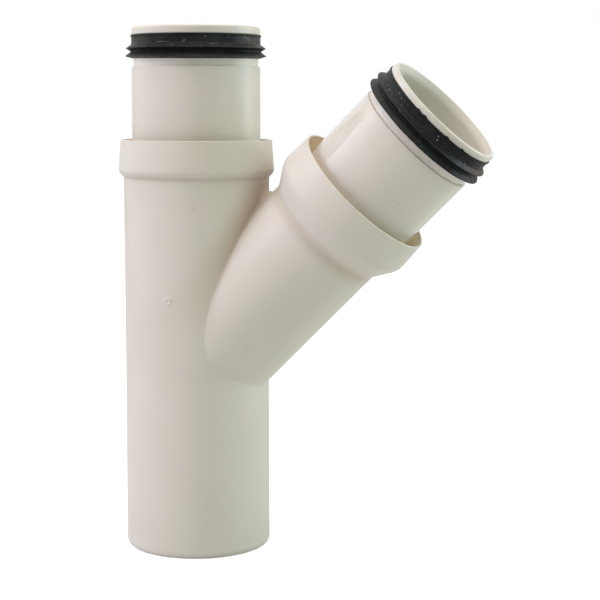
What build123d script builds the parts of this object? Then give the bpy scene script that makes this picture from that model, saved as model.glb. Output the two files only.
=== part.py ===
from build123d import *
import math
import os

# Forty-five degree branch fitting for push-fit waste pipe, in millimetres.
# The origin is the centre of the run's open foot, +Z runs up the run, and the branch leaves towards +X.

# Pipe that the fitting joins
pipe_od = 32.0
pipe_wall = 1.8

# Clearances on the radius
spigot_clearance = 0.2
collar_clearance = 0.1

# Run: the straight tube from its open foot up to its collar
foot_land = 0.3
socket_spare = 0.8
socket_ledge = 0.2
run_clear = 1.1
run_skirt_length = 1.2

# Branch: how it leaves the run, and its plain tube up to its collar
branch_angle = 45.0
branch_bore_above_socket = 5.95
branch_step = 0.05
branch_clear = 2.0
branch_skirt_length = 5.15
branch_shoulder_round = 4.0
junction_fillet = 1.75

# Collars, alike on the run and the branch
collar_wall_length = 6.95
collar_rim_wall = 0.45
collar_base_wall = 0.95
pocket_floor_rise = 0.55
pocket_floor_thickness = 1.8

# Spigots, alike on the run and the branch
spigot_wall = 1.7
barrel_length = 15.8
groove_spare = 1.7
groove_depth = 0.45
nose_width = 1.55
nose_chamfer = 0.4
mouth_flare = 0.9
mouth_flare_length = 1.3

# Double-lip seals, which sit against the nose in each groove: lengths follow one another away from the nose
seal_band = 0.5
band_length = 2.1
upper_lip_drop = 0.82
upper_lip_reach = 1.2
valley_drop = 0.6
valley_rise = 0.08
lower_lip_drop = 1.28
lower_lip_reach = 1.35
seal_heel_length = 0.45

# Gate mark left by moulding, on the front of the run
gate_height = 56.1
gate_diameter = 1.5
gate_rise = 0.2

# Radii that follow from the ones above
foot_radius = pipe_od / 2
foot_ease = pipe_wall - foot_land
foot_ease_middle = foot_ease * (1 - math.cos(math.radians(45)))
pipe_bore_radius = foot_radius - pipe_wall
waterway_radius = pipe_bore_radius - socket_ledge
spigot_radius = pipe_bore_radius - spigot_clearance
spigot_bore_radius = spigot_radius - spigot_wall
mouth_radius = spigot_bore_radius + mouth_flare
branch_radius = spigot_radius + branch_step
groove_radius = spigot_radius - groove_depth
collar_bore_radius = foot_radius + collar_clearance
collar_rim_radius = collar_bore_radius + collar_rim_wall
collar_base_radius = collar_bore_radius + collar_base_wall

# Spigot and pocket lengths: the foot's socket takes a whole spigot of the same kind
seal_width = band_length + upper_lip_drop + valley_drop + lower_lip_drop + seal_heel_length
groove_width = seal_width + groove_spare
spigot_reach = barrel_length + groove_width + nose_width
pocket_depth = collar_wall_length - pocket_floor_rise
socket_depth = spigot_reach + pocket_depth + socket_spare

# Where the branch's axis crosses the run's: its bore opens a little above the socket
slope = math.radians(branch_angle)
bore_heel_drop = spigot_bore_radius / math.sin(slope) - waterway_radius / math.tan(slope)
branch_axis_height = socket_depth + branch_bore_above_socket + bore_heel_drop

# Crotch between run and branch, the blend in it, and the collars clear of that blend
blend_length = junction_fillet / math.tan(slope / 2)
crotch_height = branch_axis_height + foot_radius / math.tan(slope) + branch_radius / math.sin(slope)
crotch_reach = foot_radius / math.sin(slope) + branch_radius / math.tan(slope)
run_skirt_start = crotch_height + blend_length + run_clear
branch_skirt_start = crotch_reach + blend_length + branch_clear
run_rim_height = run_skirt_start + run_skirt_length + collar_wall_length
branch_rim_reach = branch_skirt_start + branch_skirt_length + collar_wall_length
run_length = run_rim_height + spigot_reach
branch_length = branch_rim_reach + spigot_reach

# Shoulder inside the run, under the pocket's floor
bore_step = waterway_radius - spigot_bore_radius
bore_step_start = run_rim_height - pocket_depth - pocket_floor_thickness * math.sqrt(2)

run_place = Plane.XY
branch_place = Plane(
    origin=(0, 0, branch_axis_height),
    x_dir=(math.cos(slope), 0, -math.sin(slope)),
    z_dir=(math.sin(slope), 0, math.cos(slope)),
)


def turned(corners):
    """A solid of revolution about +Z from corners given as (radius, height, rounding)."""
    points = [(radius, height) for radius, height, rounding in corners]
    roundings = [rounding for radius, height, rounding in corners]
    outline = FilletPolyline(*points, radius=roundings, close=True)
    return revolve(Plane.XZ * make_face(outline), Axis.Z)


def collar_and_spigot(rim, shoulder_round):
    """Corners of the outside from the collar's shoulder to the spigot's nose, for a collar rim at this height."""
    floor = rim - pocket_depth
    groove_start = rim + barrel_length
    groove_end = groove_start + groove_width
    tip = groove_end + nose_width
    return [
        (collar_base_radius, rim - collar_wall_length, shoulder_round),
        (collar_rim_radius, rim, 0),
        (collar_bore_radius, rim, 0),
        (collar_bore_radius, floor, 0),
        (spigot_radius, floor, 0),
        (spigot_radius, groove_start, 0),
        (groove_radius, groove_start, 0),
        (groove_radius, groove_end, 0),
        (spigot_radius, groove_end, 0),
        (spigot_radius, tip - nose_chamfer, 0),
        (spigot_radius - nose_chamfer, tip, 0),
        (0, tip, 0),
    ]


def run_outside():
    """The run with its collar and spigot, as a solid bar: the foot's outer edge is eased in two steps."""
    corners = [
        (0, 0, 0),
        (foot_radius - foot_ease, 0, 0),
        (foot_radius - foot_ease_middle, foot_ease_middle, 0),
        (foot_radius, foot_ease, 0),
        (foot_radius, run_skirt_start, 0),
    ]
    return turned(corners + collar_and_spigot(run_rim_height, 0))


def branch_outside():
    """The branch from the run's axis outwards, as a solid bar."""
    corners = [(0, 0, 0), (branch_radius, 0, 0), (branch_radius, branch_skirt_start, 0)]
    bar = turned(corners + collar_and_spigot(branch_rim_reach, branch_shoulder_round))
    return branch_place * bar


def run_bore():
    """Socket in the foot with a ledge at its end, waterway, shoulder under the pocket, and the flared bore."""
    above = run_length + nose_width
    return turned(
        [
            (0, -nose_width, 0),
            (pipe_bore_radius, -nose_width, 0),
            (pipe_bore_radius, socket_depth, 0),
            (waterway_radius, socket_depth, 0),
            (waterway_radius, bore_step_start, 0),
            (spigot_bore_radius, bore_step_start + bore_step, 0),
            (spigot_bore_radius, run_length - mouth_flare_length, 0),
            (mouth_radius, run_length, 0),
            (mouth_radius, above, 0),
            (0, above, 0),
        ]
    )


def branch_bore():
    """Bore of the branch from the run's axis out through the flared mouth."""
    above = branch_length + nose_width
    bore = turned(
        [
            (0, 0, 0),
            (spigot_bore_radius, 0, 0),
            (spigot_bore_radius, branch_length - mouth_flare_length, 0),
            (mouth_radius, branch_length, 0),
            (mouth_radius, above, 0),
            (0, above, 0),
        ]
    )
    return branch_place * bore


def gate_mark():
    """A low disc, where the moulding's feed was broken off the front of the run."""
    seat = foot_radius - pipe_wall / 2
    face = foot_radius + gate_rise
    disc = turned([(0, seat, 0), (gate_diameter / 2, seat, 0), (gate_diameter / 2, face, 0), (0, face, 0)])
    return Plane(origin=(0, 0, gate_height), x_dir=(1, 0, 0), z_dir=(0, -1, 0)) * disc


def fitting_body():
    """The one-piece moulding: run, branch, two collars and two grooved spigots."""
    run_bar = run_outside()
    branch_bar = branch_outside()
    outside = run_bar + branch_bar
    junction = new_edges(run_bar, branch_bar, combined=outside)
    outside = fillet(junction, junction_fillet)
    return outside + gate_mark() - run_bore() - branch_bore()


def seal(place, rim):
    """A rubber ring with a plain band against the nose and two outward lips, seated in the groove above a collar rim."""
    top = rim + barrel_length + groove_width
    upper_tip = top - band_length - upper_lip_drop
    lower_tip = upper_tip - valley_drop - lower_lip_drop
    band_radius = groove_radius + seal_band
    ring = turned(
        [
            (groove_radius, top, 0),
            (band_radius, top, 0),
            (band_radius, top - band_length, 0),
            (band_radius + upper_lip_reach, upper_tip, 0),
            (band_radius + valley_rise, upper_tip - valley_drop, 0),
            (band_radius + lower_lip_reach, lower_tip, 0),
            (groove_radius, top - seal_width, 0),
        ]
    )
    return place * ring


os.makedirs("parts", exist_ok=True)
pieces = {
    "fitting_body": fitting_body(),
    "run_seal": seal(run_place, run_rim_height),
    "branch_seal": seal(branch_place, branch_rim_reach),
}
for name, shape in pieces.items():
    shape.label = name
    export_step(shape, f"parts/{name}.step")
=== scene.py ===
import logging
import math
from dataclasses import dataclass
from enum import Enum
from typing import Sequence, Union

import bmesh
import bpy
import numpy as np
from mathutils import Matrix, Vector


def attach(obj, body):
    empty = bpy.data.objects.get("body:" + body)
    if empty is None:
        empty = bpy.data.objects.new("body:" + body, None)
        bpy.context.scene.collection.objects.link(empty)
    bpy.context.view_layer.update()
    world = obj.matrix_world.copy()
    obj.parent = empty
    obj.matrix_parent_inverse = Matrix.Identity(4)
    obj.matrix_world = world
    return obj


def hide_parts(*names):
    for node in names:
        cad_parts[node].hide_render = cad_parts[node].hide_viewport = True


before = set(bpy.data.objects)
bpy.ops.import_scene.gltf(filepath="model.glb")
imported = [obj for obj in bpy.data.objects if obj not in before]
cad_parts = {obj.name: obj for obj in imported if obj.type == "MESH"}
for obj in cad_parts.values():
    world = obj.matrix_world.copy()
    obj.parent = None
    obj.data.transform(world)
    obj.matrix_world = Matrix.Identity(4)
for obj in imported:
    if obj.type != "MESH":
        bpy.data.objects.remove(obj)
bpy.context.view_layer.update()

log = logging.getLogger("branch_fitting")
MM = 0.001
WELD = 0.0005 * MM
ARC_DEGREES = 14
WHITE = (1.0, 1.0, 1.0, 1.0)
BLACK = (0.0, 0.0, 0.0, 1.0)
Number = Union[int, float]
Ring = list[bmesh.types.BMVert]


class Lane(Enum):
    """The two lanes that water takes through the fitting."""

    RUN = "run"
    BRANCH = "branch"


@dataclass(frozen=True)
class Corner:
    """A corner of a turned outline: its radius, station along the axis and rounding, in millimetres."""

    radius: float
    station: float
    rounding: float = 0.0

    @property
    def point(self) -> Vector:
        """The corner as a flat point."""
        return Vector((self.radius, self.station))


def arc_points(before: Corner, here: Corner, after: Corner) -> list[Vector]:
    """Rounds one corner.

    Args:
        before: The corner before it.
        here: The corner to round.
        after: The corner after it.

    Returns:
        The arc's points from tangent point to tangent point, or the bare corner if it has no rounding.
    """
    if here.rounding <= 0:
        return [here.point]
    back = (before.point - here.point).normalized()
    on = (after.point - here.point).normalized()
    turn = math.pi - back.angle(on)
    reach = here.rounding * math.tan(turn / 2)
    centre = here.point + (back + on).normalized() * here.rounding / math.cos(turn / 2)
    start = here.point + back * reach - centre
    end = here.point + on * reach - centre
    steps = max(2, math.ceil(math.degrees(turn) / ARC_DEGREES))
    shares = [step / steps for step in range(steps + 1)]
    return [
        centre + (start * math.sin((1 - share) * turn) + end * math.sin(share * turn)) / math.sin(turn)
        for share in shares
    ]


def turned_outline(corners: Sequence[Corner], support: float = 0.12) -> list[Vector]:
    """Turns corners into outline points.

    Each straight stretch gets a support point near its ends, so that smooth shading stays in the roundings.

    Args:
        corners: The corners in order; the first and last are plain ends.
        support: How far the support points stand from the ends, in millimetres.

    Returns:
        The points of the outline as (radius, station).
    """
    arcs = [[corners[0].point]]
    arcs += [arc_points(*three) for three in zip(corners, corners[1:], corners[2:])]
    arcs += [[corners[-1].point]]
    points = list(arcs[0])
    for last, arc in zip(arcs, arcs[1:]):
        stretch = arc[0] - last[-1]
        step = stretch.normalized() * min(support, stretch.length / 3)
        points += [last[-1] + step, arc[0] - step, *arc]
    return points


@dataclass(frozen=True)
class Axis:
    """A tube's axis in millimetres: its start, its direction, and the side that angles are counted from."""

    origin: np.ndarray
    along: np.ndarray
    side: np.ndarray

    @property
    def across(self) -> np.ndarray:
        """The direction a quarter turn on from the side."""
        return np.cross(self.along, self.side)

    def at(self, angle: np.ndarray, radius: Number | np.ndarray, station: Number | np.ndarray) -> np.ndarray:
        """Points round the axis.

        Args:
            angle: Angles in radians.
            radius: Distances from the axis.
            station: Distances along the axis.

        Returns:
            One row of x, y, z for each angle.
        """
        angle, radius, station = np.broadcast_arrays(np.atleast_1d(angle), radius, station)
        out = np.cos(angle)[:, None] * self.side + np.sin(angle)[:, None] * self.across
        return self.origin + station[:, None] * self.along + radius[:, None] * out

    def read(self, points: np.ndarray) -> tuple[np.ndarray, np.ndarray, np.ndarray]:
        """Reads points as at() would be given them.

        Args:
            points: One row of x, y, z for each point.

        Returns:
            The angle, radius and station of each point.
        """
        offset = points - self.origin
        aside, across = offset @ self.side, offset @ self.across
        return np.arctan2(across, aside), np.hypot(aside, across), offset @ self.along


def spin_outline(mesh: bmesh.types.BMesh, outline: Sequence[Vector], axis: Axis, columns: int) -> None:
    """Spins a closed outline a full turn about an axis.

    Args:
        mesh: The mesh to add to.
        outline: The outline as (radius, station), its last point joined to its first.
        axis: The axis to spin about.
        columns: How many steps the turn takes.
    """
    chain = [mesh.verts.new(axis.at(0.0, point.x, point.y)[0] * MM) for point in outline]
    edges = [mesh.edges.new(pair) for pair in zip(chain, chain[1:] + chain[:1])]
    bmesh.ops.spin(
        mesh,
        geom=chain + edges,
        cent=Vector(axis.origin) * MM,
        axis=Vector(axis.along),
        angle=math.tau,
        steps=columns,
        use_merge=True,
    )


def grow_ring(mesh: bmesh.types.BMesh, ring: Ring, spots: np.ndarray) -> Ring:
    """Extrudes a closed ring of vertices to new spots.

    Args:
        mesh: The mesh that holds the ring.
        ring: The ring's vertices in order.
        spots: Where the new vertices go, in millimetres, one row for each vertex of the ring.

    Returns:
        The new ring, in the same order.
    """
    edges = []
    for first, second in zip(ring, ring[1:] + ring[:1]):
        edges.append(next(edge for edge in first.link_edges if edge.other_vert(first) is second))
    made = bmesh.ops.extrude_edge_only(mesh, edges=edges)
    fresh = {part for part in made["geom"] if isinstance(part, bmesh.types.BMVert)}
    grown = []
    for vertex, spot in zip(ring, spots):
        beside = (edge.other_vert(vertex) for edge in vertex.link_edges)
        twin = next(other for other in beside if other in fresh)
        twin.co = Vector(spot) * MM
        grown.append(twin)
    return grown


def arc_rows(centre: np.ndarray, start: np.ndarray, end: np.ndarray, steps: int) -> list[np.ndarray]:
    """Rows of points on arcs about the points of a centre line.

    Args:
        centre: The arcs' centres.
        start: Where the arcs start.
        end: Where the arcs end.
        steps: How many steps each arc takes.

    Returns:
        The rows from start to end, both included.
    """
    first, last = start - centre, end - centre
    turn = np.arccos(np.clip((first * last).sum(1) / (first * first).sum(1), -1, 1))[:, None]
    rows = []
    for share in np.linspace(0, 1, steps + 1):
        swing = first * np.sin((1 - share) * turn) + last * np.sin(share * turn)
        rows.append(centre + swing / np.sin(turn))
    return rows


@dataclass(frozen=True)
class Window:
    """A window in a tube's wall, on the lines of the tube's own columns and rows.

    Its radius, low and high are in millimetres; snap is how far a vertex of the wall may be off that radius.
    """

    radius: float
    low: float
    high: float
    rows: int
    half_columns: int
    middle: int = 0
    snap: float = 0.05

    @property
    def step(self) -> float:
        """The height of a row."""
        return (self.high - self.low) / self.rows

    def border(self) -> list[tuple[int, int]]:
        """The window's border.

        Returns:
            Column and row of each vertex, from the middle of the sill round to it again.
        """
        edge = self.half_columns
        sill = [(column, 0) for column in range(edge + 1)]
        jamb = [(edge, row) for row in range(1, self.rows + 1)]
        lintel = [(column, self.rows) for column in range(edge - 1, -1, -1)]
        half = sill + jamb + lintel
        back = [(-column, row) for column, row in half[-2:0:-1]]
        return [(self.middle + column, row) for column, row in half + back]

    def chart(self, column_angle: float) -> np.ndarray:
        """The angle and height of each vertex of the border."""
        spots = [(column * column_angle, self.low + row * self.step) for column, row in self.border()]
        return np.array(spots)

    def cut(self, mesh: bmesh.types.BMesh, axis: Axis, column_angle: float) -> Ring:
        """Deletes the faces in the window.

        Args:
            mesh: The tube's mesh.
            axis: The tube's axis.
            column_angle: The angle between the tube's columns.

        Returns:
            The border's vertices in the order of border().
        """
        middles = np.array([face.calc_center_median() for face in mesh.faces]) / MM
        angle, radius, height = axis.read(middles)
        aside = np.abs(angle / column_angle - self.middle)
        inside = (aside < self.half_columns) & (self.low < height) & (height < self.high)
        inside &= np.abs(radius - self.radius) < self.snap
        faces = [face for face, chosen in zip(mesh.faces, inside) if chosen]
        bmesh.ops.delete(mesh, geom=faces, context="FACES")
        rim = [vertex for vertex in mesh.verts if vertex.is_boundary]
        angle, radius, height = axis.read(np.array([vertex.co for vertex in rim]) / MM)
        column, row = angle / column_angle, (height - self.low) / self.step
        found = {}
        for index in np.flatnonzero(np.abs(radius - self.radius) < self.snap):
            found[round(column[index]), round(row[index])] = rim[index]
        return [found[spot] for spot in self.border()]


@dataclass
class Fitting:
    """The moulding in millimetres: run, branch, two collars, two grooved spigots and the gate mark.

    Each blend is degrees round the branch from the saddle in the acute side, and the blend's radius there.
    Each gate ring is its radius and its height over the run's wall.
    """

    columns: int = 160
    slope: float = math.radians(45)
    foot_radius: float = 16.0
    run_radius: float = 15.93
    socket_radius: float = 14.2
    waterway_radius: float = 14.0
    socket_depth: float = 31.5
    foot_round: float = 1.5
    foot_inner_round: float = 0.18
    foot_land: float = 14.44
    branch_height: float = 40.845
    branch_radius: float = 14.05
    spigot_radius: float = 14.0
    spigot_bore: float = 12.3
    groove_radius: float = 13.55
    run_skirt: float = 82.039
    run_rim: float = 90.189
    branch_skirt: float = 42.902
    branch_rim: float = 55.002
    skirt_round: float = 1.5
    shoulder_round: float = 4.0
    run_skirt_round: float = 0.8
    run_shoulder_round: float = 1.4
    collar_wall: float = 6.95
    collar_base: float = 17.05
    collar_mouth: float = 16.55
    collar_bore: float = 16.1
    pocket_depth: float = 6.4
    barrel: float = 15.8
    spigot_end: float = 24.3
    run_nose: float = 1.73
    branch_nose: float = 1.4
    nose_round: float = 0.45
    mouth_flare: float = 0.9
    mouth_flare_length: float = 1.3
    mouth_round: float = 0.12
    flare_round: float = 2.0
    bore_round: float = 0.5
    ledge_round: float = 0.08
    edge_round: float = 0.13
    root_round: float = 0.2
    blends: tuple[tuple[float, float], ...] = (
        (0.0, 1.8),
        (15.0, 0.22),
        (60.0, 0.22),
        (115.0, 0.8),
        (180.0, 1.6),
    )
    inner_blend: float = 0.3
    fine_columns: int = 2880
    blend_steps: int = 10
    inner_blend_steps: int = 4
    bore_shoulder: float = 81.244
    branch_bore_end: float = 14.0
    bore_rows: int = 15
    window_rows: int = 40
    window_half_columns: int = 34
    window_gap: float = 0.2
    outer_sill: float = 32.0
    skirt_gap: float = 0.5
    lintel_gap: float = 0.05
    skirt_lead: float = 0.6
    inner_sill: float = 34.0
    inner_lintel: float = 77.0
    patch_shares: tuple[float, ...] = (0.2, 0.4, 0.6, 0.78, 0.9, 0.97)
    inner_patch_shares: tuple[float, ...] = (0.97, 0.85, 0.6, 0.3, 0.0)
    branch_shares: tuple[float, ...] = (0.02, 0.06, 0.12, 0.2, 0.3, 0.4, 0.5, 0.6, 0.7, 0.8, 0.9)
    gate_column: int = -40
    gate_height: float = 56.17
    gate_rings: tuple[tuple[float, float], ...] = (
        (1.25, 0.0),
        (0.95, 0.02),
        (0.83, 0.08),
        (0.7, 0.15),
        (0.54, 0.15),
        (0.42, 0.07),
        (0.22, 0.01),
    )
    body: str = "root"

    @property
    def run_axis(self) -> Axis:
        """Up the run from its foot."""
        return Axis(np.zeros(3), np.array([0.0, 0.0, 1.0]), np.array([1.0, 0.0, 0.0]))

    @property
    def branch_axis(self) -> Axis:
        """Out along the branch, from where it crosses the run's axis.

        Returns:
            The axis; its angle zero is the branch's underside.
        """
        rise, reach = math.cos(self.slope), math.sin(self.slope)
        origin = np.array([0.0, 0.0, self.branch_height])
        return Axis(origin, np.array([reach, 0.0, rise]), np.array([rise, 0.0, -reach]))

    @property
    def column_angle(self) -> float:
        """The angle between the run's columns."""
        return math.tau / self.columns

    @property
    def outer_window(self) -> Window:
        """Where the run's outer wall opens for the blend."""
        size = self.window_rows, self.window_half_columns
        return Window(self.run_radius, self.outer_sill, self.run_skirt - self.skirt_gap, *size)

    @property
    def inner_window(self) -> Window:
        """Where the waterway opens for the branch's bore."""
        size = self.window_rows, self.window_half_columns
        return Window(self.waterway_radius, self.inner_sill, self.inner_lintel, *size)

    @property
    def gate_window(self) -> Window:
        """Where the run's front opens for the gate mark.

        Returns:
            A window on the rows of the outer window that lie nearest to the mark.
        """
        outer = self.outer_window
        first = round((self.gate_height - outer.low) / outer.step - 1.5)
        low = outer.low + first * outer.step
        return Window(self.run_radius, low, low + 3 * outer.step, 3, 3, self.gate_column)

    def nose(self, lane: Lane) -> float:
        """How long the nose above the seal is."""
        return self.run_nose if lane is Lane.RUN else self.branch_nose

    def rim(self, lane: Lane) -> float:
        """The station of the collar's rim."""
        return self.run_rim if lane is Lane.RUN else self.branch_rim

    def skirt(self, lane: Lane) -> float:
        """The station where the collar's skirt begins."""
        return self.run_skirt if lane is Lane.RUN else self.branch_skirt

    def groove_start(self, lane: Lane) -> float:
        """The station where the barrel ends and the seal's groove begins."""
        return self.rim(lane) + self.barrel

    def axis(self, lane: Lane) -> Axis:
        """The lane's axis."""
        return self.run_axis if lane is Lane.RUN else self.branch_axis

    def seal_top(self, lane: Lane) -> float:
        """The station of the nose's underside, which the seal sits against."""
        return self.rim(lane) + self.spigot_end - self.nose(lane)

    def spigot_corners(self, lane: Lane) -> list[Corner]:
        """Corners from the collar's rim round the pocket and the spigot to its mouth.

        Args:
            lane: The run or the branch.

        Returns:
            The corners, down to a point inside the mouth.
        """
        rim = self.rim(lane)
        floor = rim - self.pocket_depth
        groove_start, groove_end = self.groove_start(lane), self.seal_top(lane)
        tip = rim + self.spigot_end
        edge, root = self.edge_round, self.root_round
        return [
            Corner(self.collar_mouth, rim, edge),
            Corner(self.collar_bore, rim, edge),
            Corner(self.collar_bore, floor, root),
            Corner(self.spigot_radius, floor, root),
            Corner(self.spigot_radius, groove_start, edge),
            Corner(self.groove_radius, groove_start, edge / 2),
            Corner(self.groove_radius, groove_end, edge / 2),
            Corner(self.spigot_radius, groove_end, edge),
            Corner(self.spigot_radius, tip, self.nose_round),
            Corner(self.spigot_bore + self.mouth_flare, tip, self.mouth_round),
            Corner(self.spigot_bore, tip - self.mouth_flare_length, self.flare_round),
        ]

    def run_outline(self) -> list[Vector]:
        """The run's closed outline, with the rows of both windows in it.

        Returns:
            The points as (radius, height).
        """
        outer, inner, shoulder = self.outer_window, self.inner_window, self.bore_shoulder
        outside = [
            Corner(self.foot_land, 0),
            Corner(self.foot_radius, 0, self.foot_round),
            Corner(self.run_radius, outer.low - self.window_gap),
        ]
        top = [
            Corner(self.run_radius, outer.high + self.lintel_gap),
            Corner(self.run_radius, self.run_skirt, self.run_skirt_round),
            Corner(self.collar_base, self.run_rim - self.collar_wall, self.run_shoulder_round),
            *self.spigot_corners(Lane.RUN),
            Corner(self.spigot_bore, shoulder + self.waterway_radius - self.spigot_bore, self.bore_round),
            Corner(self.waterway_radius, shoulder, self.bore_round),
            Corner(self.waterway_radius, inner.high + self.window_gap),
        ]
        under = [
            Corner(self.waterway_radius, inner.low - self.window_gap),
            Corner(self.waterway_radius, self.socket_depth, self.ledge_round),
            Corner(self.socket_radius, self.socket_depth, self.ledge_round),
            Corner(self.socket_radius, 0, self.foot_inner_round),
            Corner(self.foot_land, 0),
        ]
        up = np.linspace(outer.low, outer.high, outer.rows + 1)
        down = np.linspace(inner.high, inner.low, inner.rows + 1)
        points = turned_outline(outside) + [Vector((self.run_radius, height)) for height in up]
        points += turned_outline(top) + [Vector((self.waterway_radius, height)) for height in down]
        return points + turned_outline(under)[:-1]

    def blend_at(self, angle: np.ndarray) -> np.ndarray:
        """The radius of the blend between run and branch.

        Args:
            angle: Angles round the branch.

        Returns:
            The radius: wide in the saddle of the acute side, tight beside it, wider again under the branch.
        """
        off_saddle = np.degrees(np.abs(angle % math.tau - math.pi))
        degrees, radii = np.array(self.blends).T
        stretch = np.clip(np.searchsorted(degrees, off_saddle, "right") - 1, 0, len(degrees) - 2)
        share = (off_saddle - degrees[stretch]) / (degrees[stretch + 1] - degrees[stretch])
        share = share * share * (3 - 2 * share)
        return radii[stretch] + (radii[stretch + 1] - radii[stretch]) * share

    def ball_line(
        self, angle: np.ndarray, run: float, branch: float, ball: Number | np.ndarray
    ) -> tuple[np.ndarray, ...]:
        """The path of a ball that touches a tube of the run and one of the branch.

        Args:
            angle: Angles round the branch.
            run: Radius of the run's tube.
            branch: Radius of the branch's tube.
            ball: The ball's radius, one for all or one for each angle.

        Returns:
            The ball's centres, where it touches the run and the branch, and its stations on the branch.
        """
        reach = branch + ball
        aside = reach * np.sin(angle)
        out = np.sqrt((run + ball) ** 2 - aside**2)
        station = (out - reach * np.cos(angle) * math.cos(self.slope)) / math.sin(self.slope)
        centre = self.branch_axis.at(angle, reach, station)
        on_branch = self.branch_axis.at(angle, branch, station)
        share = run / (run + ball)
        on_run = centre * np.stack([share, share, np.ones_like(share)], -1)
        return centre, on_run, on_branch, station

    def patch_rows(self, window: Window, line: np.ndarray, shares: Sequence[float]) -> list[np.ndarray]:
        """Rows on the run's tube between a window's border and the line where the blend begins.

        Args:
            window: The window that the rows start from.
            line: Points on the tube, one for each vertex of the border.
            shares: How far from border to line each row lies.

        Returns:
            The rows, from the border inwards.
        """
        border = window.chart(self.column_angle)
        angle, _, height = self.run_axis.read(line)
        goal = np.stack([angle, height], 1)
        charts = [border + (goal - border) * share for share in shares]
        return [self.run_axis.at(chart[:, 0], window.radius, chart[:, 1]) for chart in charts]

    def branch_angles(self) -> np.ndarray:
        """Angles round the branch that lead straight out to the window's border vertices.

        Returns:
            One angle for each border vertex, rising from zero towards a full turn.
        """
        window = self.outer_window
        middle = (window.low + window.high) / 2
        border = window.chart(self.column_angle)
        border_turn = np.unwrap(np.arctan2(border[:, 0] * window.radius, middle - border[:, 1]))
        angle = np.linspace(0, math.tau, self.fine_columns + 1)
        line = self.ball_line(angle, self.run_radius, self.branch_radius, self.blend_at(angle))[1]
        aside = np.arctan2(line[:, 1], line[:, 0]) * window.radius
        line_turn = np.unwrap(np.arctan2(aside, middle - line[:, 2]))
        return np.interp(border_turn, line_turn, angle)

    def tube_rows(
        self,
        angle: np.ndarray,
        radius: float,
        start: Number | np.ndarray,
        end: Number | np.ndarray,
        shares: Sequence[float],
    ) -> list[np.ndarray]:
        """Rows round a tube of the branch.

        Args:
            angle: Angles round the branch.
            radius: The tube's radius.
            start: The station of a row at share zero, one for all or one for each angle.
            end: The station of a row at share one.
            shares: Where the rows lie from start to end.

        Returns:
            The rows in the order of the shares.
        """
        return [self.branch_axis.at(angle, radius, start + (end - start) * share) for share in shares]

    def branch_rows(self) -> list[np.ndarray]:
        """Rows of the branch: blend, tube, collar, spigot, bore and inner blend, to the inner window.

        Returns:
            The rows in order.
        """
        angle = self.branch_angles()
        blend = self.blend_at(angle)
        centre, on_run, on_branch, station = self.ball_line(angle, self.run_radius, self.branch_radius, blend)
        rows = self.patch_rows(self.outer_window, on_run, self.patch_shares)
        rows += arc_rows(centre, on_run, on_branch, self.blend_steps)
        outline = turned_outline(
            [
                Corner(self.branch_radius, self.branch_skirt - self.skirt_lead),
                Corner(self.branch_radius, self.branch_skirt, self.skirt_round),
                Corner(self.collar_base, self.branch_rim - self.collar_wall, self.shoulder_round),
                *self.spigot_corners(Lane.BRANCH),
                Corner(self.spigot_bore, self.branch_rim + self.branch_bore_end),
            ]
        )
        low, high = outline[0].y, outline[-1].y
        rows += self.tube_rows(angle, self.branch_radius, station, low, self.branch_shares)
        rows += [self.branch_axis.at(angle, point.x, point.y) for point in outline]
        bore = self.ball_line(angle, self.waterway_radius, self.spigot_bore, self.inner_blend)
        centre, on_run, on_branch, station = bore
        shares = np.linspace(0, 1, self.bore_rows + 1)[1:-1]
        rows += self.tube_rows(angle, self.spigot_bore, high, station, shares)
        rows += arc_rows(centre, on_branch, on_run, self.inner_blend_steps)
        return rows + self.patch_rows(self.inner_window, on_run, self.inner_patch_shares)

    def grow_branch(self, mesh: bmesh.types.BMesh, outer: Ring, inner: Ring) -> None:
        """Grows the branch out of the outer window and back to the inner one.

        Args:
            mesh: The moulding's mesh.
            outer: The border of the outer window.
            inner: The border of the inner window.
        """
        ring = outer
        for row in self.branch_rows():
            ring = grow_ring(mesh, ring, row)
        bmesh.ops.weld_verts(mesh, targetmap=dict(zip(ring, inner)))

    def grow_gate(self, mesh: bmesh.types.BMesh, ring: Ring) -> None:
        """Closes the gate's window with a low ring round a dimple, where the feed broke off.

        Args:
            mesh: The moulding's mesh.
            ring: The border of the gate's window.
        """
        axis = self.run_axis
        middle = self.gate_column * self.column_angle
        border = self.gate_window.chart(self.column_angle)
        aside = (border[:, 0] - middle) * self.run_radius
        turn = np.arctan2(border[:, 1] - self.gate_height, aside)
        for reach, lift in self.gate_rings:
            angle = middle + reach * np.cos(turn) / self.run_radius
            spots = axis.at(angle, self.run_radius + lift, self.gate_height + reach * np.sin(turn))
            ring = grow_ring(mesh, ring, spots)
        pit = axis.at(middle, self.run_radius + self.gate_rings[-1][1], self.gate_height)[0]
        bmesh.ops.pointmerge(mesh, verts=ring, merge_co=Vector(pit) * MM)

    def build(self) -> bpy.types.Object:
        """Makes the moulding's mesh.

        Returns:
            The moulding, in place of its CAD node.
        """
        mesh = bmesh.new()
        spin_outline(mesh, self.run_outline(), self.run_axis, self.columns)
        windows = (self.outer_window, self.inner_window, self.gate_window)
        outer, inner, gate = (window.cut(mesh, self.run_axis, self.column_angle) for window in windows)
        self.grow_branch(mesh, outer, inner)
        self.grow_gate(mesh, gate)
        piece = close_mesh(mesh, "fitting_moulding")
        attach(piece, self.body)
        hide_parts("fitting_body")
        return piece


def add_object(name: str, data: bpy.types.ID) -> bpy.types.Object:
    """Makes an object at the origin and links it to the scene.

    Args:
        name: The object's name.
        data: Its mesh, lamp or camera.

    Returns:
        The new object.
    """
    made = bpy.data.objects.new(name, data)
    bpy.context.scene.collection.objects.link(made)
    return made


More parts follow.
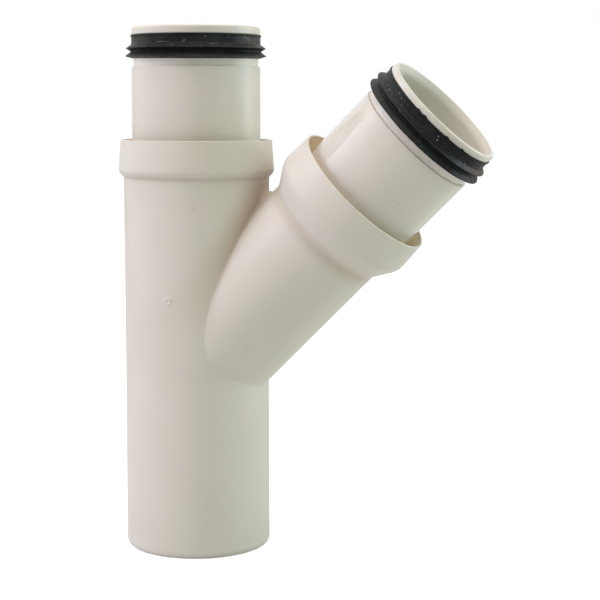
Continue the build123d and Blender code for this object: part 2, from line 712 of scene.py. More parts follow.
def mesh_object(mesh: bmesh.types.BMesh, name: str) -> bpy.types.Object:
    """Turns a bmesh into an object at the origin.

    Args:
        mesh: The mesh, which is freed.
        name: The object's name.

    Returns:
        The new object, linked to the scene.
    """
    data = bpy.data.meshes.new(name)
    mesh.to_mesh(data)
    mesh.free()
    return add_object(name, data)


def close_mesh(mesh: bmesh.types.BMesh, name: str) -> bpy.types.Object:
    """Welds a finished bmesh and turns it into a smooth object at the origin.

    Args:
        mesh: The mesh, which is freed.
        name: The object's name.

    Returns:
        The new object, linked to the scene.
    """
    bmesh.ops.remove_doubles(mesh, verts=mesh.verts, dist=WELD)
    bmesh.ops.recalc_face_normals(mesh, faces=mesh.faces)
    open_edges = [edge for edge in mesh.edges if not edge.is_manifold]
    for face in mesh.faces:
        face.smooth = True
    log.info("%s: %d faces, %d open edges", name, len(mesh.faces), len(open_edges))
    return mesh_object(mesh, name)


def bump(angle: np.ndarray, middle: float | np.ndarray, spread: float) -> np.ndarray:
    """A soft bump round a circle.

    Args:
        angle: Angles in radians.
        middle: The angle of its top.
        spread: How wide it is.

    Returns:
        Its height at each angle, one at the top.
    """
    off = np.abs((angle - middle + math.pi) % math.tau - math.pi)
    return np.exp(-0.5 * (off / spread) ** 2)


@dataclass
class LipSeal:
    """A black rubber ring with a plain sleeve against the nose and two thin lips, in millimetres.

    Heights, tips, valley and heel are depths under its top. Droop is how far the lower lip hangs all round,
    sag how far more in front, and teeth are the angles in degrees where the upper edge is ragged.
    """

    lane: Lane
    axis: Axis
    top: float
    columns: int = 288
    groove_radius: float = 13.55
    sleeve_radius: float = 14.04
    bead_radius: float = 14.2
    bead_height: float = 0.35
    sleeve_height: float = 2.05
    upper_tip: float = 2.9
    upper_radius: float = 15.25
    valley: float = 3.55
    valley_radius: float = 14.12
    lower_tip: float = 4.75
    lower_radius: float = 15.4
    heel: float = 5.22
    tip_round: float = 0.05
    wave: float = 0.1
    wave_orders: tuple[int, ...] = (2, 3, 5, 8, 13, 21)
    upper_wave: float = 0.45
    droop: float = 0.0
    sag: float = 0.0
    front: tuple[float, float, float] = (0.397, -0.918, 0.0)
    front_spread: float = math.radians(45)
    teeth: tuple[float, ...] = ()
    tooth_height: float = 0.3
    tooth_spread: float = math.radians(1.3)
    seed: int = 3
    body: str = "root"

    @property
    def node(self) -> str:
        """The CAD node that the ring stands for."""
        return f"{self.lane.value}_seal"

    def outline(self) -> list[Vector]:
        """The ring's closed section.

        Returns:
            Points as (radius, station), its last point next to its first.
        """
        inner = Corner(self.groove_radius, -self.valley / 2)
        corners = [
            inner,
            Corner(self.groove_radius, 0.0, 0.08),
            Corner(self.bead_radius, 0.0, 0.07),
            Corner(self.bead_radius, -self.bead_height, 0.07),
            Corner(self.sleeve_radius, -self.bead_height - 0.16, 0.12),
            Corner(self.sleeve_radius + 0.03, -self.sleeve_height, 0.45),
            Corner(self.upper_radius, -self.upper_tip, self.tip_round),
            Corner(self.valley_radius, -self.valley, 0.16),
            Corner(self.lower_radius, -self.lower_tip, self.tip_round),
            Corner(self.groove_radius + 0.05, -self.heel, 0.05),
            inner,
        ]
        points = turned_outline(corners, support=0.06)[:-1]
        return [Vector((point.x, self.top + point.y)) for point in points]

    def loosen(self, mesh: bmesh.types.BMesh) -> None:
        """Moves the spun ring's vertices, so that its lips wave and its lower lip hangs as rubber does.

        Args:
            mesh: The ring's mesh.
        """
        rng = np.random.default_rng(self.seed)
        angle, radius, station = self.axis.read(np.array([vertex.co for vertex in mesh.verts]) / MM)
        depth = self.top - station
        sway = sum(
            rng.normal(0, 1 / order) * np.cos(order * angle + rng.uniform(0, math.tau))
            for order in self.wave_orders
        )
        ahead = self.axis.read(self.axis.origin + np.array([self.front]))[0]
        proud = np.clip((radius - self.sleeve_radius) / (self.lower_radius - self.sleeve_radius), 0, 1)
        share = np.where(depth > self.valley, 1.0, self.upper_wave)
        hang = np.clip((depth - self.valley) / (self.lower_tip - self.valley), 0, 1)
        fall = sway * proud**2 * self.wave * share
        fall += hang * (self.droop + self.sag * bump(angle, ahead, self.front_spread))
        ragged = sum(bump(angle, math.radians(tooth), self.tooth_spread) for tooth in self.teeth)
        top_edge = (depth < 0.08) & (radius > self.bead_radius - 0.12)
        fall -= np.where(top_edge, ragged * self.tooth_height, 0.0)
        spots = self.axis.at(angle, radius, station - fall)
        for vertex, spot in zip(mesh.verts, spots):
            vertex.co = Vector(spot) * MM

    def build(self) -> bpy.types.Object:
        """Makes the ring's mesh.

        Returns:
            The ring, in place of its CAD node.
        """
        mesh = bmesh.new()
        spin_outline(mesh, self.outline(), self.axis, self.columns)
        self.loosen(mesh)
        piece = close_mesh(mesh, f"{self.lane.value}_lip_seal")
        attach(piece, self.body)
        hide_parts(self.node)
        return piece


class Value:
    """One number or colour over a surface: Python's operators on a number add Math nodes."""

    def __init__(self, graph: "Graph", socket: bpy.types.NodeSocket) -> None:
        """Wraps an output socket.

        Args:
            graph: The graph that holds it.
            socket: The output to wrap.
        """
        self.graph = graph
        self.socket = socket

    def maths(self, operation: str, *others: "Value | Number", swap: bool = False) -> "Value":
        """Adds a Math node.

        Args:
            operation: The node's operation.
            others: Its other inputs.
            swap: Whether this value comes second.

        Returns:
            The node's output.
        """
        inputs = [self, *others]
        if swap:
            inputs.reverse()
        return self.graph.add("ShaderNodeMath", dict(enumerate(inputs)), operation=operation)

    def __add__(self, other: "Value | Number") -> "Value":
        """Sum."""
        return self.maths("ADD", other)

    __radd__ = __add__

    def __sub__(self, other: "Value | Number") -> "Value":
        """Difference."""
        return self.maths("SUBTRACT", other)

    def __rsub__(self, other: Number) -> "Value":
        """Difference from a number."""
        return self.maths("SUBTRACT", other, swap=True)

    def __mul__(self, other: "Value | Number") -> "Value":
        """Product."""
        return self.maths("MULTIPLY", other)

    __rmul__ = __mul__

    def __truediv__(self, other: "Value | Number") -> "Value":
        """Quotient."""
        return self.maths("DIVIDE", other)

    def __or__(self, other: "Value") -> "Value":
        """The greater of two masks."""
        return self.maths("MAXIMUM", other)

    def ramp(self, low: Number, high: Number, to_low: Number = 0.0, to_high: Number = 1.0) -> "Value":
        """Eases from one number to another as this value goes from low to high.

        Args:
            low: Where the ramp starts.
            high: Where it ends.
            to_low: The result at low and below.
            to_high: The result at high and above.

        Returns:
            The eased value.
        """
        inputs = {"Value": self, "From Min": low, "From Max": high, "To Min": to_low, "To Max": to_high}
        return self.graph.add("ShaderNodeMapRange", inputs, "Result", interpolation_type="SMOOTHSTEP")

    def within(self, low: Number, high: Number, soft: Number) -> "Value":
        """A mask that is one between low and high, with soft ends.

        Args:
            low: Where the mask starts.
            high: Where it ends.
            soft: How wide each end is.

        Returns:
            The mask.
        """
        return self.ramp(low - soft, low + soft) * self.ramp(high - soft, high + soft, 1.0, 0.0)


@dataclass(frozen=True)
class Tube:
    """Where a surface lies by an axis: the station along it and the distance from it, in millimetres."""

    along: Value
    around: Value


class Graph:
    """The nodes of a material or a world, built by calls."""

    def __init__(self, owner: bpy.types.Material | bpy.types.World) -> None:
        """Empties the owner's node tree.

        Args:
            owner: The material or world to fill.
        """
        owner.use_nodes = True
        self.owner = owner
        self.tree = owner.node_tree
        self.tree.nodes.clear()
        self.place = self.node("ShaderNodeTexCoord").outputs["Object"]

    def node(self, kind: str, inputs: dict | None = None, **settings: str) -> bpy.types.Node:
        """Adds any node.

        Args:
            kind: The node's type.
            inputs: Numbers, colours, values or sockets for its inputs, by name or number.
            settings: Its settings, set first.

        Returns:
            The node.
        """
        made = self.tree.nodes.new(kind)
        for key, setting in settings.items():
            setattr(made, key, setting)
        for key, given in (inputs or {}).items():
            if isinstance(given, Value):
                given = given.socket
            if isinstance(given, bpy.types.NodeSocket):
                self.tree.links.new(given, made.inputs[key])
            else:
                made.inputs[key].default_value = given
        return made

    def add(self, kind: str, inputs: dict, output: str | int = 0, **settings: str) -> Value:
        """Adds a node and wraps one of its outputs.

        Args:
            kind: The node's type.
            inputs: Its inputs.
            output: The output to wrap.
            settings: Its settings.

        Returns:
            The output.
        """
        return Value(self, self.node(kind, inputs, **settings).outputs[output])

    def vector(self, operation: str, inputs: Sequence, output: str = "Vector") -> Value:
        """Adds a Vector Math node.

        Args:
            operation: The node's operation.
            inputs: Its inputs in order.
            output: The output to wrap.

        Returns:
            The output.
        """
        return self.add("ShaderNodeVectorMath", dict(enumerate(inputs)), output, operation=operation)

    def noise(self, size: float, detail: float = 3.0, shift: float = 0.0) -> Value:
        """Soft noise on the object's own coordinates.

        Args:
            size: The size of its lumps in millimetres.
            detail: How many finer layers it has.
            shift: Moves the pattern, so that two of them differ.

        Returns:
            The noise, around a half.
        """
        spot = self.vector("MULTIPLY_ADD", [self.place, (1 / (size * MM),) * 3, (shift,) * 3])
        return self.add("ShaderNodeTexNoise", {"Vector": spot, "Scale": 1.0, "Detail": detail}, "Fac")

    def specks(self, size: float, spread: float, keep: float) -> Value:
        """Scattered round specks.

        Args:
            size: Their radius in millimetres.
            spread: The space between them in millimetres.
            keep: The share of them that shows.

        Returns:
            A mask of them.
        """
        spot = self.vector("MULTIPLY", [self.place, (1 / (spread * MM),) * 3])
        cells = self.node("ShaderNodeTexVoronoi", {"Vector": spot, "Scale": 1.0})
        gap = Value(self, cells.outputs["Distance"])
        chance = self.add("ShaderNodeSeparateColor", {0: cells.outputs["Color"]})
        reach = size / spread
        return gap.ramp(reach * 0.5, reach, 1.0, 0.0) * chance.ramp(1 - keep - 0.01, 1 - keep + 0.01)

    def mix(self, first: Sequence[float] | Value, second: Sequence[float], share: Value) -> Value:
        """Lays one colour over another.

        Args:
            first: The colour at share zero.
            second: The colour at share one.
            share: How much of the second.

        Returns:
            The mixed colour.
        """
        inputs = {0: share, 6: opaque(first), 7: opaque(second)}
        return self.add("ShaderNodeMix", inputs, 2, data_type="RGBA")

    def tube(self, axis: Axis) -> Tube:
        """Measures the surface from an axis.

        Args:
            axis: The tube's axis.

        Returns:
            The station along the axis and the distance from it.
        """
        dot = self.vector("DOT_PRODUCT", [self.place, tuple(axis.along)], "Value")
        offset = self.vector("SUBTRACT", [self.place, tuple(axis.origin * MM)])
        cross = self.vector("CROSS_PRODUCT", [offset, tuple(axis.along)])
        around = self.vector("LENGTH", [cross], "Value") / MM
        return Tube(dot / MM - float(axis.origin @ axis.along), around)

    def from_stroke(self, start: Sequence[float], end: Sequence[float]) -> Value:
        """The distance from a short straight stroke.

        Args:
            start: Where the stroke starts, in millimetres.
            end: Where it ends.

        Returns:
            The distance in millimetres.
        """
        step = (Vector(end) - Vector(start)) * MM
        offset = self.vector("SUBTRACT", [self.place, tuple(Vector(start) * MM)])
        share = self.vector("DOT_PRODUCT", [offset, tuple(step / step.length_squared)], "Value")
        share = share.maths("MAXIMUM", 0.0).maths("MINIMUM", 1.0)
        foot = self.add("ShaderNodeVectorMath", {0: tuple(step), "Scale": share}, operation="SCALE")
        return self.vector("LENGTH", [self.vector("SUBTRACT", [offset, foot])], "Value") / MM

    def relief(self, height: Value) -> Value:
        """The surface's normal over a relief that is so many millimetres high."""
        return self.add("ShaderNodeBump", {"Strength": 1.0, "Distance": MM, "Height": height})

    def close(self, kind: str, inputs: dict) -> bpy.types.Material | bpy.types.World:
        """Ends the graph in one shader.

        Args:
            kind: The shader node's type.
            inputs: The shader's inputs.

        Returns:
            The material or world.
        """
        shader = self.node(kind, inputs)
        end = "World" if isinstance(self.owner, bpy.types.World) else "Material"
        self.node(f"ShaderNodeOutput{end}", {"Surface": shader.outputs[0]})
        return self.owner


def opaque(colour: Sequence[float] | Value) -> Sequence[float] | Value:
    """A colour with full alpha; a value stays as it is."""
    return colour if isinstance(colour, Value) else (*colour[:3], 1.0)


def linear(red: int, green: int, blue: int) -> tuple[float, ...]:
    """Screen colour, 0 to 255, as linear numbers."""
    shares = [channel / 255 for channel in (red, green, blue)]
    return tuple(share / 12.92 if share <= 0.04045 else ((share + 0.055) / 1.055) ** 2.4 for share in shares)


@dataclass(frozen=True)
class Mark:
    """A small mark on a surface: a dot or short stroke, from start to end in millimetres."""

    start: tuple[float, float, float]
    end: tuple[float, float, float]
    width: float
    colour: tuple[float, ...]
    strength: float

    def paint(self, graph: Graph, colour: Value) -> Value:
        """Lays the mark over a colour.

        Args:
            graph: The material's graph.
            colour: The colour under it.

        Returns:
            The colour with the mark on it.
        """
        gap = graph.from_stroke(self.start, self.end)
        return graph.mix(colour, self.colour, gap.ramp(self.width * 0.25, self.width, self.strength, 0.0))


def dot(place: tuple[float, float, float], width: float, colour: tuple[float, ...], strength: float) -> Mark:
    """A mark that is a single dot."""
    beside = (place[0], place[1], place[2] + 0.05)
    return Mark(place, beside, width, colour, strength)


DARK_SPECK = linear(96, 86, 74)
TAN_SPECK = linear(150, 124, 92)
PALE_SCUFF = linear(190, 186, 176)
YELLOW_GRIT = linear(176, 150, 92)
PALE_STROKE = linear(236, 230, 220)
BLACK_PATCH = linear(12, 13, 13)
PLASTIC_MARKS = (
    dot((5.5, -14.97, 75.97), 0.22, DARK_SPECK, 0.22),
    dot((13.24, -4.55, 104.09), 0.26, TAN_SPECK, 0.5),
    dot((5.28, -12.97, 102.73), 0.2, DARK_SPECK, 0.3),
    dot((-0.99, -13.96, 95.41), 0.26, DARK_SPECK, 0.22),
    dot((-7.57, -11.78, 96.43), 0.3, DARK_SPECK, 0.2),
    dot((16.29, -12.12, 47.07), 0.24, DARK_SPECK, 0.3),
    Mark((16.94, -11.7, 46.69), (16.4, -11.55, 46.23), 0.14, DARK_SPECK, 0.22),
    Mark((16.4, -11.55, 46.23), (16.04, -11.5, 45.47), 0.14, DARK_SPECK, 0.22),
    Mark((16.04, -11.5, 45.47), (15.66, -11.39, 44.89), 0.13, DARK_SPECK, 0.18),
    dot((25.62, -10.45, 53.18), 0.24, DARK_SPECK, 0.35),
    dot((38.39, -6.24, 96.95), 0.24, DARK_SPECK, 0.3),
    dot((49.39, -10.88, 77.76), 0.24, DARK_SPECK, 0.28),
    dot((53.71, -3.39, 75.35), 0.24, DARK_SPECK, 0.28),
    # Painted highlight on the upper left of the gate mark's ring.
    Mark((-0.66, -15.92, 56.15), (-0.34, -15.93, 56.45), 0.2, PALE_STROKE, 0.6),
    Mark((55.61, 12.04, 92.91), (56.3, 11.99, 93.3), 0.16, PALE_STROKE, 0.6),
)
RUBBER_MARKS = (
    Mark((-0.22, -14.08, 111.98), (1.02, -14.04, 111.9), 0.22, BLACK_PATCH, 0.6),
    Mark((-3.01, -13.75, 110.96), (-1.57, -13.99, 111.0), 0.11, PALE_SCUFF, 0.22),
    Mark((-1.37, -14.0, 110.98), (-0.22, -14.08, 110.98), 0.1, PALE_SCUFF, 0.15),
    Mark((8.15, -11.75, 110.5), (9.45, -10.72, 110.42), 0.22, PALE_SCUFF, 0.22),
    Mark((10.72, -9.54, 110.38), (11.6, -8.36, 110.4), 0.22, PALE_SCUFF, 0.2),
    Mark((2.74, -13.81, 110.87), (3.25, -13.71, 111.48), 0.11, PALE_SCUFF, 0.28),
    Mark((3.2, -13.72, 110.96), (3.57, -13.62, 111.39), 0.1, PALE_SCUFF, 0.22),
    Mark((13.18, -4.94, 112.21), (13.69, -3.3, 111.7), 0.24, PALE_SCUFF, 0.14),
    dot((7.28, -12.04, 112.02), 0.14, PALE_SCUFF, 0.7),
    dot((11.16, -8.58, 112.05), 0.14, PALE_SCUFF, 0.5),
    dot((2.16, -14.85, 109.09), 0.2, PALE_SCUFF, 0.7),
    dot((-3.74, -14.53, 109.11), 0.2, PALE_SCUFF, 0.6),
    dot((-1.48, -14.93, 108.13), 0.24, YELLOW_GRIT, 0.6),
    dot((-5.35, -14.02, 108.24), 0.24, YELLOW_GRIT, 0.5),
    dot((62.17, -7.36, 86.01), 0.2, YELLOW_GRIT, 0.8),
    dot((58.08, -13.1, 91.54), 0.18, PALE_SCUFF, 0.7),
    dot((57.82, -12.96, 90.83), 0.18, PALE_SCUFF, 0.6),
    dot((46.33, -9.5, 101.92), 0.18, PALE_SCUFF, 0.6),
    dot((47.17, -10.77, 100.87), 0.18, PALE_SCUFF, 0.6),
    dot((49.66, -12.32, 100.2), 0.18, PALE_SCUFF, 0.6),
    dot((50.3, -12.91, 99.16), 0.18, PALE_SCUFF, 0.6),
)


@dataclass(frozen=True)
class LaneLook:
    """What differs in the plastic from lane to lane.

    The gloss says how far the spigot goes from the body's roughness to the spigot's, and the groove's share
    how strong the painted light on its floor is. The skirt's shade is painted shade; its band and stretch are
    the low end, high end and softness of that shade, from the axis and along it.
    """

    gloss: float
    groove_light: float
    skirt_shade: float
    skirt_band: tuple[float, float, float]
    skirt_stretch: tuple[float, float, float]


@dataclass(frozen=True)
class LaneFinish:
    """The masks that the plastic has on each lane, in millimetres.

    A band is the low end, high end and softness of a distance from the axis. A fade is the two ends of a
    change; the pocket's are stations from the collar's rim.
    """

    lane: Lane
    look: LaneLook
    fitting: Fitting
    tube: Tube
    spigot_band: tuple[float, float, float] = (13.2, 15.1, 0.1)
    pocket_band: tuple[float, float, float] = (13.85, 16.2, 0.03)
    pocket_fade: tuple[float, float] = (-2.2, 0.8)
    pocket_floor_fade: tuple[float, float] = (-7.0, -6.6)
    groove_band: tuple[float, float, float] = (13.3, 13.98, 0.02)
    ring_pitches: tuple[float, float] = (0.42, 0.27)
    ring_stretch: tuple[float, float] = (0.1, 3.0)
    ring_edge: tuple[float, float] = (14.2, 14.4)

    def spigot(self) -> Value:
        """A mask of the spigot's outside, by how glossy it is.

        Returns:
            The mask.
        """
        floor = self.fitting.rim(self.lane) - self.fitting.pocket_depth
        above = self.tube.along.ramp(floor - 1.0, floor)
        return self.tube.around.within(*self.spigot_band) * above * self.look.gloss

    def pocket(self) -> Value:
        """A mask of painted light in the gap between collar and spigot, fading out towards its mouth.

        Returns:
            The mask.
        """
        rim = self.fitting.rim(self.lane)
        deep = self.tube.along.ramp(*(rim + end for end in self.pocket_fade), 1.0, 0.0)
        floor = self.tube.along.ramp(*(rim + end for end in self.pocket_floor_fade))
        return self.tube.around.within(*self.pocket_band) * deep * floor

    def groove(self) -> Value:
        """A mask of painted light on the groove's floor, by how strong that light is.

        Returns:
            The mask.
        """
        start, end = self.fitting.groove_start(self.lane), self.fitting.seal_top(self.lane)
        stretch = self.tube.along.within(start - 0.1, end, 0.05)
        return self.tube.around.within(*self.groove_band) * stretch * self.look.groove_light

    def skirt(self) -> Value:
        """A mask of painted shade in the hollow where the collar's skirt begins, by how dark it is.

        Returns:
            The mask.
        """
        start = self.fitting.skirt(self.lane)
        low, high, soft = self.look.skirt_stretch
        stretch = self.tube.along.within(start + low, start + high, soft)
        return stretch * self.tube.around.within(*self.look.skirt_band) * self.look.skirt_shade

    def turned_rings(self) -> Value:
        """The fine rings on the groove's floor.

        Returns:
            Their height, nothing elsewhere.
        """
        wide, narrow = ((self.tube.along * (math.tau / pitch)).maths("SINE") for pitch in self.ring_pitches)
        start = self.fitting.groove_start(self.lane)
        stretch = self.tube.along.within(*(start + end for end in self.ring_stretch), 0.05)
        return (wide + narrow * 0.6) * stretch * self.tube.around.ramp(*self.ring_edge, 1.0, 0.0)


@dataclass(frozen=True)
class WarmPlastic:
    """Warm off-white moulded plastic, satin, glossy on the branch's spigot; painted light in its hollows,
    painted shade in creases.

    The looks are the run's and the branch's. The other pairs are the two ends of a change, the sizes those of
    a pattern's lumps, and the heights how far it stands out, all in millimetres.
    """

    base: tuple[float, ...] = linear(210, 203, 192)
    cloud: tuple[float, ...] = linear(206, 200, 187)
    # Painted light in the pockets between collar and spigot.
    gap: tuple[float, ...] = linear(252, 238, 214)
    # Painted light on the groove floors under the seals' lips.
    groove: tuple[float, ...] = linear(232, 223, 213)
    # Painted light in the branch's bore, towards its mouth.
    bore_light: tuple[float, ...] = linear(232, 227, 218)
    # Painted shade in the crease between run and branch and where the collars' skirts begin.
    painted_shade: tuple[float, ...] = linear(176, 160, 138)
    pocket_light_share: float = 0.85
    bore_light_share: float = 0.35
    crease_shade_share: float = 0.75
    body_roughness: float = 0.44
    spigot_roughness: float = 0.09
    looks: tuple[LaneLook, LaneLook] = (
        LaneLook(0.15, 1.0, 0.5, (15.4, 16.6, 0.2), (-0.25, 0.25, 0.45)),
        LaneLook(1.0, 0.6, 0.55, (13.6, 15.6, 0.3), (-1.4, 0.4, 1.7)),
    )
    mouth_edge: tuple[float, float] = (13.0, 13.3)
    mouth_fade: tuple[float, float] = (50.0, 62.0)
    crease_side: tuple[float, float] = (0.2, 1.2)
    crease_width: tuple[float, float] = (0.0, 6.5)
    crease_depth: tuple[float, float] = (1.6, 2.4)
    crease_fade: tuple[float, float] = (46.0, 74.0)
    cloud_size: float = 24.0
    mottle_size: float = 3.0
    mottle_roughness: float = 0.03
    grain_size: float = 0.45
    grain_height: float = 0.012
    wander_size: float = 6.0
    wander_height: float = 0.05
    ring_height: float = 0.006

    def crease(self, run: Tube, branch: Tube, fitting: Fitting) -> Value:
        """A mask of painted shade on the run's side of the crease, stronger towards the acute side.

        Args:
            run: Where the surface lies by the run's axis.
            branch: Where it lies by the branch's.
            fitting: The moulding.

        Returns:
            The mask.
        """
        from_run = run.around - fitting.run_radius
        from_branch = branch.around - fitting.branch_radius
        near = (from_run - from_branch).ramp(*self.crease_side, 1.0, 0.0)
        near = near * from_branch.ramp(*self.crease_width, 1.0, 0.0)
        return near * from_run.ramp(*self.crease_depth, 1.0, 0.0) * run.along.ramp(*self.crease_fade)

    def mouth(self, branch: Tube) -> Value:
        """A mask of painted light inside the branch's bore, stronger towards its mouth."""
        return branch.around.ramp(*self.mouth_edge, 1.0, 0.0) * branch.along.ramp(*self.mouth_fade)

    def material(self, fitting: Fitting) -> bpy.types.Material:
        """Builds the finish.

        Args:
            fitting: The moulding that it covers.

        Returns:
            The material.
        """
        graph = Graph(bpy.data.materials.new("warm_plastic"))
        run, branch = (
            LaneFinish(lane, look, fitting, graph.tube(fitting.axis(lane)))
            for lane, look in zip(Lane, self.looks)
        )
        colour = graph.mix(self.base, self.cloud, graph.noise(self.cloud_size, 2.0).ramp(0.35, 0.65))
        crease = self.crease(run.tube, branch.tube, fitting)
        # Painted shade in the crease between run and branch.
        colour = graph.mix(colour, self.painted_shade, crease * self.crease_shade_share)
        # Painted shade where the collars' skirts begin.
        colour = graph.mix(colour, self.painted_shade, run.skirt() | branch.skirt())
        # Painted light on the groove floors under the seals' lips.
        colour = graph.mix(colour, self.groove, run.groove() | branch.groove())
        # Painted light in the branch's bore, towards its mouth.
        colour = graph.mix(colour, self.bore_light, self.mouth(branch.tube) * self.bore_light_share)
        # Painted light in the pockets between collar and spigot.
        colour = graph.mix(colour, self.gap, (run.pocket() | branch.pocket()) * self.pocket_light_share)
        for mark in PLASTIC_MARKS:
            colour = mark.paint(graph, colour)
        smooth = run.spigot() | branch.spigot()
        rougher = self.mottle_roughness
        mottle = graph.noise(self.mottle_size, 3.0, 5.0).ramp(0.3, 0.7, -rougher, rougher)
        roughness = smooth * (self.spigot_roughness - self.body_roughness) + self.body_roughness + mottle
        grain = graph.noise(self.grain_size, 3.0) * (smooth * -0.75 + 1.0) * self.grain_height
        rings = (run.turned_rings() + branch.turned_rings()) * self.ring_height
        wander = graph.noise(self.wander_size, 1.0, 9.0) * self.wander_height
        return graph.close(
            "ShaderNodeBsdfPrincipled",
            {
                "Base Color": colour,
                "Roughness": roughness,
                "Normal": graph.relief(grain + rings + wander),
                "IOR": 1.5,
                "Specular IOR Level": 0.35,
                "Subsurface Weight": 0.15,
                "Subsurface Radius": (1.0, 0.8, 0.6),
                "Subsurface Scale": 1.2 * MM,
            },
        )


@dataclass(frozen=True)
class SealRubber:
    """Black rubber, dull, with pale dust and scuffs, most of them on the lips.

    The sizes are those of a pattern's lumps and the heights how far it stands out, in millimetres.
    """

    base: tuple[float, ...] = linear(15, 17, 16)
    worn: tuple[float, ...] = linear(34, 36, 35)
    dust: tuple[float, ...] = linear(168, 160, 138)
    worn_share: float = 0.75
    dust_share: float = 0.7
    roughness: tuple[float, float] = (0.4, 0.54)
    shine: float = 0.16
    worn_size: float = 2.6
    dust_size: float = 1.7
    dull_size: float = 1.2
    pebble_size: float = 0.5
    pebble_height: float = 0.03
    pore_size: float = 0.16
    pore_height: float = 0.012
    lip_margin: float = 0.8
    lip_reach: tuple[float, float] = (16.0, 16.5)

    def lips(self, tube: Tube, seal: LipSeal) -> Value:
        """A mask of a ring's two lips."""
        low, high = seal.top - seal.heel - self.lip_margin, seal.top - seal.sleeve_height
        return tube.along.within(low, high, 0.25) * tube.around.ramp(*self.lip_reach, 1.0, 0.0)

    def material(self, seals: tuple[LipSeal, LipSeal]) -> bpy.types.Material:
        """Builds the finish.

        Args:
            seals: Both rings, which it covers.

        Returns:
            The material.
        """
        graph = Graph(bpy.data.materials.new("seal_rubber"))
        run, branch = (self.lips(graph.tube(seal.axis), seal) for seal in seals)
        lips = run | branch
        cloudy = graph.noise(self.worn_size, 4.0).ramp(0.4, 0.66) * (lips * -0.7 + 1.0)
        colour = graph.mix(self.base, self.worn, cloudy * self.worn_share)
        specks = (graph.specks(0.11, 0.5, 0.34) | graph.specks(0.16, 1.3, 0.2)) * (lips * 0.8 + 0.2)
        patches = graph.noise(self.dust_size, 2.0, 3.0).ramp(0.4, 0.62)
        colour = graph.mix(colour, self.dust, specks * patches * self.dust_share)
        for mark in RUBBER_MARKS:
            colour = mark.paint(graph, colour)
        pebbles = graph.noise(self.pebble_size, 4.0) * self.pebble_height
        pores = graph.noise(self.pore_size, 2.0, 4.0) * self.pore_height
        return graph.close(
            "ShaderNodeBsdfPrincipled",
            {
                "Base Color": colour,
                "Roughness": graph.noise(self.dull_size, 3.0, 7.0).ramp(0.3, 0.7, *self.roughness),
                "Specular IOR Level": self.shine,
                "Normal": graph.relief(pebbles + pores),
            },
        )


@dataclass(frozen=True)
class Lamp:
    """A soft studio light.

    Its azimuth and elevation are degrees round what it lights, its width and height metres, and its level the
    light's red, green and blue. Mirrored says whether gloss shows it.
    """

    name: str
    azimuth: float
    elevation: float
    width: float
    height: float
    level: tuple[float, float, float]
    mirrored: bool = True

    @property
    def strength(self) -> float:
        """The level of its strongest colour."""
        return max(self.level)

    @property
    def hue(self) -> list[float]:
        """Its level as shares of the strongest."""
        return [share / self.strength for share in self.level]

    def stand(self, aim: Vector, distance: float) -> Matrix:
        """Finds where the lamp stands.

        Args:
            aim: The point that it faces.
            distance: How far from that point it is.

        Returns:
            The matrix that puts it there.
        """
        turn, lift = math.radians(self.azimuth), math.radians(self.elevation)
        back = Vector((math.sin(turn) * math.cos(lift), -math.cos(turn) * math.cos(lift), math.sin(lift)))
        facing = back.to_track_quat("Z", "Y").to_matrix().to_4x4()
        return Matrix.Translation(aim + back * distance) @ facing


def turned_pair(first: Vector, second: Vector, degrees: float) -> tuple[Vector, Vector]:
    """Turns two directions at right angles in their own plane.

    Args:
        first: The direction that turns towards the second.
        second: The direction that turns away from the first.
        degrees: How far they turn.

    Returns:
        Both directions, turned.
    """
    turn = math.radians(degrees)
    cosine, sine = math.cos(turn), math.sin(turn)
    return first * cosine + second * sine, second * cosine - first * sine


def flat_sheet(name: str, width: float, height: float) -> bpy.types.Object:
    """Makes a flat rectangular sheet at the origin.

    Args:
        name: The sheet's name.
        width: Its size along X in metres.
        height: Its size along Y.

    Returns:
        The sheet.
    """
    mesh = bmesh.new()
    bmesh.ops.create_grid(mesh, x_segments=1, y_segments=1, size=0.5)
    bmesh.ops.scale(mesh, vec=(width, height, 1.0), verts=mesh.verts)
    return mesh_object(mesh, name)


